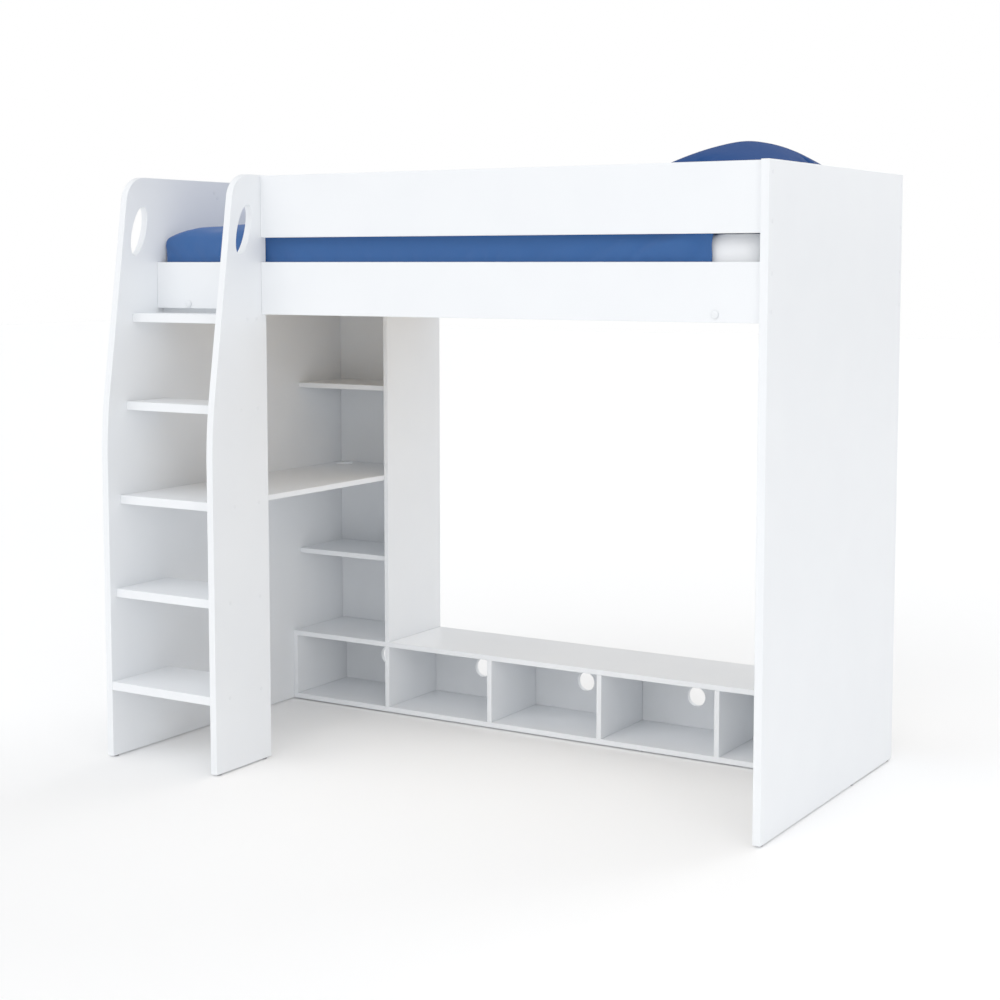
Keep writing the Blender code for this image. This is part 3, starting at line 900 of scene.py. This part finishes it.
    def thicken(self, duvet: bpy.types.Object, low: Vector, high: Vector) -> None:
        """Give the duvet its thickness inwards: full on top, thin where it hangs."""
        group = duvet.vertex_groups.new(name="filling")
        thin = self.skirt / self.filling
        for vert in duvet.data.vertices:
            top = 1 - fade(vert.co.z - (high.z - self.skirt_below), self.skirt_blend)
            inward = min(vert.co.x - low.x, vert.co.y - low.y, high.y - vert.co.y)
            full = min(max(inward / self.edge_blend, 0.0), 1.0) * top
            group.add([vert.index], thin + (1 - thin) * full, "REPLACE")
        apply_modifier(duvet, "SOLIDIFY", thickness=self.filling, offset=-1.0, vertex_group=group.name,
                       thickness_vertex_group=0.0)
        duvet.vertex_groups.clear()

    def lift_lining(self, duvet: bpy.types.Object, first: int) -> None:
        """Lift the lining clear of the made-up mattress.

        Args:
            duvet: The duvet with its thickness.
            first: The index of the lining's first point.
        """
        bed = BVHTree.FromObject(bpy.data.objects["fitted_sheet"],
                                 bpy.context.evaluated_depsgraph_get())
        down = Vector((0, 0, -1))
        for vert in duvet.data.vertices[first:]:
            top = bed.ray_cast(Vector((vert.co.x, vert.co.y, self.lining_probe)), down)[0]
            if top and top.z - self.lining_reach < vert.co.z < top.z + self.lining_lift:
                vert.co.z = top.z + self.lining_lift

    def hold(self, point: Vector, outside: bool, low: Vector) -> float:
        """Return how firmly a point is held: the lining stays put, and the lower edges nearly do."""
        return self.skirt_hold * fade(point.z - low.z, self.skirt_held) if outside else 1.0

    def crease(self, duvet: bpy.types.Object, low: Vector, high: Vector) -> None:
        """Add the soft creases of a duvet that has been shaken out and pulled straight."""
        normals = [vert.normal.copy() for vert in duvet.data.vertices]
        for vert, normal in zip(duvet.data.vertices, normals):
            if normal.z < self.level:
                continue
            warp = noise.noise(vert.co * self.warp_scale) * self.warp
            ridge = 1 - abs(ripple(vert.co.x, vert.co.y, self.ridge_scale, warp))
            fine = ripple(vert.co.x, vert.co.y, self.wrinkle_scale)
            inset = min(vert.co.x - low.x, vert.co.y - low.y, high.y - vert.co.y, high.x - vert.co.x)
            calm = 1 - fade(inset, self.calm_edge)
            vert.co += normal * calm * (-self.ridge_drop + self.ridge * ridge ** self.ridge_crisp
                                        + self.wrinkle * fine)


@dataclass
class Pillow:
    """A plump feather pillow, sewn from two flat pieces and filled, at the head of the bed."""

    finishes: Finishes
    flat_share: float = 1.16      # how much wider than the filled pillow its flat cover is
    bow: tuple[float, float] = (0.24, 0.08)
    steps_across: int = 46
    steps_along: int = 64
    seam: float = 6.0 * MM        # thickness of the flat cover before it is filled
    sag: float = 0.35             # how much of the lower half is pressed flat
    dome: float = 0.50            # how much the top falls away towards its edges
    tip: float = 0.03             # how round the middle of the dome stays
    waist: float = 0.5            # the seam's height, as a share of the pillow's
    swell: Swell = Swell(pressure=9.0, frames=26, cap=0.16, tension=25.0, bending=0.2)

    def build(self) -> None:
        """Model the pillow."""
        low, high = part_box("pillow")
        size, centre = high - low, (low + high) / 2
        bpy.ops.mesh.primitive_grid_add(x_subdivisions=self.steps_across, y_subdivisions=self.steps_along,
                                        size=1.0, location=centre)
        bpy.context.active_object.scale = (size.x * self.flat_share, size.y * self.flat_share, 1.0)
        pillow = settle(bpy.context.active_object, "blue_pillow")
        self.bow_sides(pillow, centre, size)
        apply_modifier(pillow, "SOLIDIFY", thickness=self.seam, offset=0.0)
        self.swell.run(pillow, held=lambda point: 0.0)
        self.fit(pillow, low, high)
        apply_modifier(pillow, "SUBSURF", levels=1, render_levels=1)
        shade(pillow, CLOTH_CREASE)
        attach(pillow, "pillow")
        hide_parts("pillow")
        dress(pillow, self.finishes.pillow)
        log.info("modelled blue_pillow: %d faces", len(pillow.data.polygons))

    def bow_sides(self, pillow: bpy.types.Object, centre: Vector, size: Vector) -> None:
        """Bow the flat cover's sides outwards, so that they're nearly straight once it's filled."""
        half = Vector((size.x, size.y)) * self.flat_share / 2
        for vert in pillow.data.vertices:
            u, v = (vert.co.x - centre.x) / half.x, (vert.co.y - centre.y) / half.y
            vert.co.x = centre.x + u * half.x * (1 + self.bow[0] * (1 - v * v))
            vert.co.y = centre.y + v * half.y * (1 + self.bow[1] * (1 - u * u))

    def fit(self, pillow: bpy.types.Object, low: Vector, high: Vector) -> None:
        """Bring the filled pillow into its room and let its underside rest flat.

        Args:
            pillow: The filled pillow.
            low: The lowest corner of its room.
            high: The highest corner.
        """
        points = [vert.co for vert in pillow.data.vertices]
        least = Vector(min(p[k] for p in points) for k in range(3))
        most = Vector(max(p[k] for p in points) for k in range(3))
        base = self.sag * self.waist
        for vert in pillow.data.vertices:
            share = Vector((at - start) / max(end - start, TINY)
                           for at, start, end in zip(vert.co, least, most))
            if share.z > self.waist:
                out = (2 * share.x - 1) ** 2 + (2 * share.y - 1) ** 2
                fall = sqrt(out + self.tip) - sqrt(self.tip)
                share.z = self.waist + (share.z - self.waist) * (1 - self.dome * fall)
            else:
                share.z = base + share.z * (1 - self.sag)
            share.z = (share.z - base) / (1 - base)
            vert.co = Vector(start + part * (end - start) for part, start, end in zip(share, low, high))
        pillow.data.update()


# ---- Studio ----

@dataclass(frozen=True)
class SoftLight:
    """A distant soft light.

    Attributes:
        name: Its name.
        towards: The direction in which the light stands, seen from the bed.
        energy: Its strength.
        spread: Its apparent width in degrees, which softens the shadows.
    """

    name: str
    towards: tuple[float, float, float]
    energy: float
    spread: float

    def place(self) -> None:
        """Add the light."""
        lamp = bpy.data.lights.new(self.name, "SUN")
        lamp.energy = self.energy
        lamp.angle = radians(self.spread)
        light = bpy.data.objects.new(self.name, lamp)
        light.rotation_euler = Vector(self.towards).to_track_quat("Z", "Y").to_euler()
        bpy.context.scene.collection.objects.link(light)


@dataclass(frozen=True)
class LightPanel:
    """A square soft light close to the bed, whose light falls off along the faces it reaches.

    Attributes:
        name: Its name.
        place: Where it stands.
        aim: The point that it faces.
        power: Its power in watts.
        size: The length of its side.
    """

    name: str
    place: tuple[float, float, float]
    aim: tuple[float, float, float]
    power: float
    size: float

    def put_up(self) -> None:
        """Add the light; it lights the bed but isn't seen itself."""
        lamp = bpy.data.lights.new(self.name, "AREA")
        lamp.energy = self.power
        lamp.size = self.size
        light = bpy.data.objects.new(self.name, lamp)
        light.location = self.place
        way = Vector(self.place) - Vector(self.aim)
        light.rotation_euler = way.to_track_quat("Z", "Y").to_euler()
        light.visible_camera = False
        bpy.context.scene.collection.objects.link(light)


@dataclass
class Studio:
    """A white studio: pale floor, white surroundings, soft lights and the camera."""

    floor_size: float = 60.0
    floor_colour: str = "#FFFFFF"
    fill_colour: str = "#FAFCFF"
    surroundings: float = 0.25    # strength of the light that comes from all round
    backdrop: float = 1.0         # as bright as the lit floor, so that no horizon shows
    contrast: float = 1.3         # display gamma: lifts the shaded shelves, as the studio's fill does
    lights: tuple[SoftLight, ...] = (
        SoftLight("overhead_softbox", (0.1, -0.2, 1.0), 1.65, 110.0),
        SoftLight("front_softbox", (-0.1, -1.0, 0.6), 0.54, 50.0),
        SoftLight("left_softbox", (-0.8, -1.0, 0.4), 0.27, 40.0),
        SoftLight("right_softbox", (0.85, -0.6, 0.2), 0.26, 22.0),
        SoftLight("rear_softbox", (0.2, 1.0, 0.5), 0.98, 50.0),
    )
    panel: LightPanel = LightPanel("right_light_panel", (3.0, -2.2, 1.6), (0.9, -0.2, 1.0), 3.5, 1.2)
    camera_place: tuple[float, float, float] = (2.7387, -4.4755, 1.4471)
    camera_yaw: float = 31.417
    camera_pitch: float = 5.37
    camera_lens: float = 65.67
    camera_sensor: float = 36.0
    camera_shift: float = -0.065

    def build(self) -> None:
        """Add the floor, the surroundings, the lights and the camera."""
        self.lay_floor()
        self.light_surroundings()
        for light in self.lights:
            light.place()
        self.panel.put_up()
        self.place_camera()
        bpy.context.scene.view_settings.view_transform = "Standard"
        bpy.context.scene.view_settings.gamma = self.contrast
        log.info("built the studio")

    def lay_floor(self) -> None:
        """Lay the pale floor."""
        bpy.ops.mesh.primitive_plane_add(size=self.floor_size)
        floor = settle(bpy.context.active_object, "studio_floor")
        material, _, shader, _ = blank_material("studio_floor")
        shader.inputs["Base Color"].default_value = srgb(self.floor_colour)
        shader.inputs["Roughness"].default_value = 0.9
        shader.inputs["Specular IOR Level"].default_value = 0.1
        floor.data.materials.append(material)

    def light_surroundings(self) -> None:
        """Light the bed from all round, and show the surroundings as clean white."""
        world = bpy.data.worlds.new("white_studio")
        bpy.context.scene.world = world
        world.use_nodes = True
        tree = world.node_tree
        tree.nodes.clear()
        seen = add_node(tree, "ShaderNodeLightPath").outputs["Is Camera Ray"]
        ambient = add_node(tree, "ShaderNodeBackground",
                           {"Color": srgb(self.fill_colour), "Strength": self.surroundings}).outputs[0]
        backdrop = add_node(tree, "ShaderNodeBackground",
                            {"Color": (1, 1, 1, 1), "Strength": self.backdrop}).outputs[0]
        shown = add_node(tree, "ShaderNodeMixShader", {0: seen, 1: ambient, 2: backdrop}).outputs[0]
        add_node(tree, "ShaderNodeOutputWorld", {"Surface": shown})

    def place_camera(self) -> None:
        """Add the camera, a little below the top rail and to the right of the bed."""
        data = bpy.data.cameras.new("studio_camera")
        data.lens = self.camera_lens
        data.sensor_width = self.camera_sensor
        data.shift_y = self.camera_shift
        camera = bpy.data.objects.new("studio_camera", data)
        camera.location = self.camera_place
        camera.rotation_euler = Euler((radians(90 - self.camera_pitch), 0.0, radians(self.camera_yaw)))
        bpy.context.scene.collection.objects.link(camera)
        bpy.context.scene.camera = camera


def main() -> None:
    """Build the looks of the whole bed."""
    logging.basicConfig(level=logging.INFO, format="%(name)s: %(message)s")
    finishes = Finishes()
    Studio().build()
    CadBoards(finishes).dress()
    LadderSides(finishes).build()
    ScrewCaps(finishes).build()
    Mattress(finishes).build()
    Duvet(finishes).build()
    Pillow(finishes).build()


if __name__ == "__main__":
    main()
